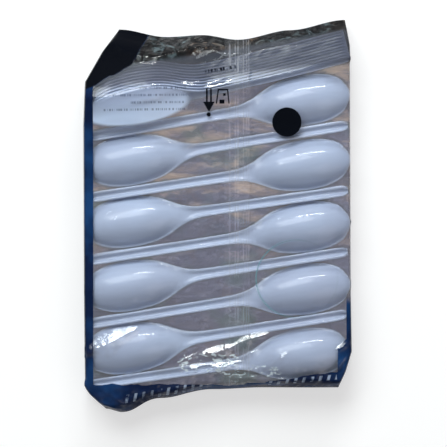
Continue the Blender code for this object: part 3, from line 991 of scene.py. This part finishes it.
# Dashes in black: the same, and how finely they break and how dark they are.
printedLines = (
    (163.5, 88.0, 47, 2.2, 1.0, 900.0, 0.5), (148.0, 95.3, 78, 2.2, 1.0, 900.0, 0.5),
    (158.0, 102.4, 54, 2.2, 1.0, 900.0, 0.5), (144.5, 109.6, 81, 2.2, 1.0, 900.0, 0.5),
    (220.0, 69.0, 32, 3.4, 9.0, 700.0, 0.9),
)
paleBars = {"rows": ((166, 392.5, 84, 8, 10), (302, 380.5, 70, 5, 5)), "slant": 0.4, "fine": 1250.0}

# Painted glints, pale spots standing for crumples that catch the light: column, row, radius, squash and
# softness.
paintedGlintZones = ((212, 364, 40, 3.4, 12), (250, 372, 34, 4.5, 8), (347, 357, 8, 0.8, 4))

# The bowl that presses against the film, painted on it as a pale oval: its middle, turn, soft outline and
# painted shade, lighter towards its lower edge.
paintedBowl = {"middle": (136, 106.5), "angle": 9, "reach": (34.5 * mm, 29.0 * mm), "narrow": 3.0,
           "shade": (8.5 * mm, -5.0 * mm)}


def pixelX(column):
    return onPack(column, 0)[0]


def pixelY(row):
    return onPack(0, row)[1]


# The generic print on the front: a plain disc, a ring, an arrow with a box beside it, and rows of dashes.
def printMasks(place):
    tree = place.tree
    black = [disc(tree, *mark) for mark in printedDiscs] + [oblong(tree, *mark)[0] for mark in printedBars]
    for *mark, fine, share in printedLines:
        line, along, _ = oblong(tree, *mark)
        black.append(ramp(broken(along, fine), 0.47, 0.53) * line * share)
    outer, inner = [disc(tree, *printedRing["middle"], printedRing[edge], printedRing["squash"])
                    for edge in ("outer", "inner")]
    start, end = map(pixelX, printedRing["fade"])
    ring = (outer - inner) * ramp(axes(place)[0], start, end, 0.04, 0.40)
    pale = []
    for mark in paleBars["rows"]:
        line, along, beside = oblong(tree, *mark)
        bars = ((along - beside * paleBars["slant"]) * paleBars["fine"]).math("SINE")
        pale.append(ramp(bars, 0.25, 0.65) * ramp(clouded(place, 150.0, 3.0), 0.38, 0.55) * line)
    return largest(*black), ring, largest(*pale)


# Solid print along the left side, at the foot, in the head's left corner and down the right side.
def borderMask(place):
    x, y, _ = axes(place)
    waved = y + (clouded(place, 90.0) - 0.5) * border["uneven"]
    soft = inks["printSoft"]
    edge = pixelX(border["left"])
    left = ramp(x, edge + soft / 2, edge - soft / 2)
    slope = (x - pixelX(border["footTurn"])).math("MAXIMUM", 0.0) * border["footSlope"]
    edge = pixelY(border["foot"])
    foot = ramp(waved - slope, edge + soft, edge - soft)
    (steep, beyond), (flat, above) = border["cornerLeft"], border["cornerBelow"]
    corner = (ramp(waved * steep - x, beyond, beyond + border["cornerSoft"])
              * ramp(waved - x * flat, above, above + border["cornerSoft"]))
    right = ramp(x, *map(pixelX, border["right"])) * ramp(y, *map(pixelY, border["rightTop"]))
    near, far, row = border["turnFrom"]
    turn = ramp(x - waved, pixelX(near) - pixelY(row), pixelX(far) - pixelY(row))
    turn *= ramp(x, *map(pixelX, border["turnColumns"])) * ramp(y, *map(pixelY, border["turnRows"]))
    return largest(left, foot, corner, right, turn), corner


# Fine upright lines of the lap seal.
def lapLines(place):
    x = axes(place)[0]
    half = bag["lapWidth"] / 2
    inside = ramp((x - bag["lapMiddle"]).math("ABSOLUTE"), half, half - 0.3 * mm)
    worn = ramp(clouded(place, 90.0, 3.0), 0.35, 0.65)
    return inside, ramp(broken(x, 620.0), 0.50, 0.62) * worn * inside


# How far a place lies in the head end, or in the strip beyond the tipped stack.
def headZone(place, zone="bunched"):
    x, y, _ = axes(place)
    slope, start, full = headZones[zone]
    return ramp(y - x * slope, start, full, smooth=True)


# What the film lets through: nearly all, less at the head end, where it is bunched, and little in the strip.
def seenThrough(place):
    folded = ramp(clouded(place, 75.0, 4.0, 1.5), 0.44, 0.58)
    strip = mixColours(folded, inks["stripDark"], inks["stripTint"])
    tint = mixColours(headZone(place), inks["clearTint"], inks["headTint"])
    return mixColours(headZone(place, "strip"), tint, strip)


# A pale veil over the tipped stack, and brown and teal patches in the strip beyond it.
def headVeil(place):
    strip = headZone(place, "strip")
    patch = mixColours(ramp(clouded(place, 30.0), 0.44, 0.54), inks["stripBrown"], inks["stripTeal"])
    shown = ramp(clouded(place, 95.0, 5.0, 2.0), 0.50, 0.64, 0.0, inks["stripShare"])
    share = (1.0 - strip) * inks["veilShare"] + shown * strip
    return share * headZone(place), mixColours(strip, inks["headVeil"], patch)


def crushGlint(place):
    return attribute(place.tree, "crush") * ramp(clouded(place, 170.0, 3.0), 0.38, 0.60, 0.15, 1.0)


# Painted glints: pale spots where the film is crushed, standing for crumples that catch the light.
def paintedGlintMask(place):
    spots = clouded(stretched(place, -0.3, (0.6, 1.3, 1.0)), 360.0, 3.0, 1.2)
    zone = largest(*[disc(place.tree, *spot) for spot in paintedGlintZones])
    return ramp(spots - (1.0 - zone) * 0.2, 0.55, 0.61)


# The bowl of the tipped stack's foremost spoon, where it presses against the film, painted as a pale oval
# with a painted highlight and painted shade: light at its lower edge, dimmer and fainter at its upper edge.
def paintedPressedBowl(place):
    _, along, beside = oblong(place.tree, *paintedBowl["middle"], 1, 1, paintedBowl["angle"])
    across = beside * paintedBowl["narrow"]
    far = (along * along + across * across).math("SQRT")
    lower = ramp(beside, *paintedBowl["shade"], smooth=True)
    shown = ramp(far, *paintedBowl["reach"], smooth=True) * ramp(lower, 0.0, 1.0, 0.45, 1.0)
    return shown * inks["paintedBowlShare"], mixColours(lower, inks["paintedBowlShade"], inks["paintedBowlLit"])


def glossShare(place, normal):
    facing = addNode(place.tree, "LayerWeight", {"Blend": 0.5, "Normal": normal}, "Facing")
    share = facing.math("POWER", 5.0) * inks["glossEdge"] + inks["glossFlat"]
    share *= ramp(headZone(place), 0.0, 1.0, 1.0, inks["headGloss"])
    return share + crushGlint(place) * inks["glossCrush"]


# Painted light over the gaps: a mauve glow with peach and teal patches and painted crease highlights,
# standing for the light that the creased film catches where it spans a gap.
def paintedGapLight(place):
    gap = attribute(place.tree, "gap")
    streaks = stretched(place, -0.16, (0.42, 1.5, 1.0))
    crease = ramp(ridged(streaks, 150.0), 0.0, 0.035, 1.0, 0.0)
    patch = ramp(clouded(streaks, 46.0, 5.0, 0.3, 0.66), 0.44, 0.68, smooth=True)
    patch *= ramp(axes(place)[1], -35 * mm, -5 * mm, 0.12, 1.0)
    cool = ramp(clouded(place, 38.0), 0.50, 0.70, 0.0, 0.8, smooth=True)
    tint = mixColours(patch, mixColours(cool, inks["gapMauve"], inks["gapTeal"]), inks["gapPeach"])
    share = patch * inks["gapPaintedPatch"] + inks["gapPaintedLight"] + crease * inks["gapPaintedCrease"]
    return share * (gap * (1.0 - headZone(place))), mixColours(gap, inks["haze"], tint)


def clearLook():
    look, tree = newLook("clearFilm")
    place = objectPlace(tree)
    inside, lines = lapLines(place)
    bump = crinkleBump(tree, 0.35, 0.6, 0.001, lines * inks["lapRelief"])
    shine = addNode(tree, "BsdfAnisotropic", {
        "Color": (1, 1, 1), "Roughness": inks["gloss"], "Normal": bump})
    dust = ramp(clouded(place, 60.0, 4.0), 0.35, 0.75, 0.4, 1.9) * inks["hazeShare"]
    dust += inside * ramp(lines, 0.0, 1.0, 0.35, 2.6) * inks["lapHaze"]
    spanned, tint = paintedGapLight(place)
    # Layers over the clear film: haze with the painted gap light, the veil, the painted pressed bowl with its
    # painted shade, and painted glints.
    layers = (
        (dust + spanned, tint, 0.5),
        (*headVeil(place), 0.5),
        (*paintedPressedBowl(place), 0.4),
        (paintedGlintMask(place) * inks["paintedGlintShare"], inks["paintedGlint"], 0.3),
    )
    clear = addNode(tree, "BsdfTransparent", {"Color": seenThrough(place)})
    for share, colour, roughness in layers:
        clear = mixShaders(share, clear, principled(tree, colour, roughness))
    clear = mixShaders(glossShare(place, bump), clear, shine)
    black, ring, pale = printMasks(place)
    solid, corner = borderMask(place)
    colour = mixColours(ramp(clouded(place, 34.0, 3.0), 0.46, 0.62), inks["navy"], inks["navyBlue"])
    marks = (
        (black, "black"),
        (corner, "black"),
        ((pale * solid - corner).clamped(), "paleInk"),
        ((1.0 - solid) * ring.math("GREATER_THAN", black), "teal"),
    )
    for share, name in marks:
        colour = mixColours(share, colour, inks[name])
    ink = principled(tree, colour, inks["inkRough"], {"Normal": bump, "IOR": inks["inkIor"]})
    ink = mixShaders(crushGlint(place) * (1.0 - corner) * inks["inkShine"], ink, shine)
    return finishLook(look, mixShaders(largest(solid, black, ring), clear, ink))


def clearInnerLook():
    look, tree = newLook("clearFilmInside")
    see = addNode(tree, "BsdfTransparent", {"Color": (1, 1, 1)})
    share = ramp(clouded(objectPlace(tree), 40.0), 0.45, 0.8, 0.0, inks["innerHaze"])
    return finishLook(look, mixShaders(share, see, principled(tree, inks["haze"], 0.5)))


def backLook():
    look, tree = newLook("printedBack")
    wear = ramp(clouded(objectPlace(tree), 35.0, 5.0), 0.4, 0.8)
    colour = mixColours(wear, inks["navy"], inks["backBlue"])
    return finishLook(look, principled(tree, colour, 0.18, {"Normal": crinkleBump(tree, 0.4, 0.6)}))


# The back's inner side: pale lilac lining with warm patches, nearly black towards the head.
def liningLook():
    look, tree = newLook("printedBackInside")
    place = objectPlace(tree)
    blotch, tinge = clouded(place, 42.0, 3.0), clouded(place, 27.0)
    colour = mixColours(ramp(blotch, 0.50, 0.60), inks["liningPale"], inks["liningWarm"])
    colour = mixColours(ramp(tinge, 0.55, 0.64), colour, inks["liningTeal"])
    dark = mixColours(ramp(blotch, 0.48, 0.62), inks["liningDark"], inks["liningBrown"])
    dark = mixColours(ramp(tinge, 0.52, 0.60), dark, inks["liningGreen"])
    head = ramp(axes(place)[1] + (blotch - 0.5) * 0.03, 72 * mm, 88 * mm, smooth=True)
    return finishLook(look, principled(tree, mixColours(head, colour, dark), 0.22,
                                       {"Normal": crinkleBump(tree, 0.6, 0.8)}))


# Studio: a white floor, a grey room brighter towards its walls, and soft lamps.
studio = {
    "floorColour": (0.52, 0.52, 0.52),
    "floorSize": 60.0,
    "floorDrop": 0.2 * mm,
    "floorLift": 0.56,
    "zenith": 0.18,
    "horizon": 0.42,
    "lamps": (
        # name, place, width, height, watts, colour
        ("key", (-0.45, 1.05, 1.38), 1.2, 0.9, 22.0, (0.93, 0.99, 1.0)),
        ("strip", (0.10, 1.15, 0.74), 0.60, 0.08, 7.0, (0.98, 1.0, 1.0)),
        ("fill", (0.9, -0.7, 1.4), 1.2, 1.2, 2.6, (1.0, 0.92, 0.95)),
    ),
}


def addFloor():
    clearSelection()
    bpy.ops.mesh.primitive_plane_add(size=studio["floorSize"], location=(0, 0, -studio["floorDrop"]))
    floor = bpy.context.object
    floor.name = "studio_floor"
    look, tree = newLook("studioFloor")
    rays = addNode(tree, "LightPath").pick("Is Camera Ray", "Is Glossy Ray", "Is Transmission Ray")
    floor.data.materials.append(finishLook(look, principled(tree, studio["floorColour"], 0.9, {
        "Specular IOR Level": 0.0, "Emission Color": (1, 1, 1),
        "Emission Strength": largest(*rays) * studio["floorLift"]})))


def addLight():
    for name, place, wide, high, watts, colour in studio["lamps"]:
        lamp = bpy.data.lights.new(name, "AREA")
        lamp.shape = "RECTANGLE"
        lamp.size, lamp.size_y, lamp.energy, lamp.color = wide, high, watts, colour
        holder = bpy.data.objects.new(name, lamp)
        holder.location = place
        holder.rotation_euler = (-Vector(place)).to_track_quat("-Z", "Y").to_euler()
        bpy.context.scene.collection.objects.link(holder)
    world = bpy.data.worlds.new("room")
    world.use_nodes = True
    bpy.context.scene.world = world
    tree = world.node_tree
    high = axes(addNode(tree, "TexCoord", output="Generated"))[2]
    room = tree.nodes["Background"].inputs
    put(room["Strength"], ramp(high, 0.05, 0.75, studio["horizon"], studio["zenith"], smooth=True))
    put(room["Color"], (1, 1, 1))


def addCamera():
    size = photo["pixelSize"]
    lens = bpy.data.cameras.new("camera")
    lens.sensor_width = photo["sensor"]
    lens.lens = photo["sensor"] * photo["distance"] / (photo["pixels"] * size)
    camera = bpy.data.objects.new("camera", lens)
    camera.location = ((photo["middle"] - photo["zeroColumn"]) * size,
                       (photo["zeroRow"] - photo["middle"]) * size, photo["height"] + photo["distance"])
    bpy.context.scene.collection.objects.link(camera)
    bpy.context.scene.camera = camera
    bpy.context.scene.view_settings.view_transform = "Standard"


clearSelection()
addCamera()
addFloor()
addLight()
print("stage and camera set")
spoons = packSpoons()
white = plasticLook()
for piece in spoons:
    piece.data.materials.append(white)
groups = {"crinkle": crinkleGroup(), "disc": discGroup(), "oblong": oblongGroup()}
filmLooks = (clearLook(), clearInnerLook(), backLook(), liningLook())
print("looks made")
filmBag(spoons)
clearSelection()
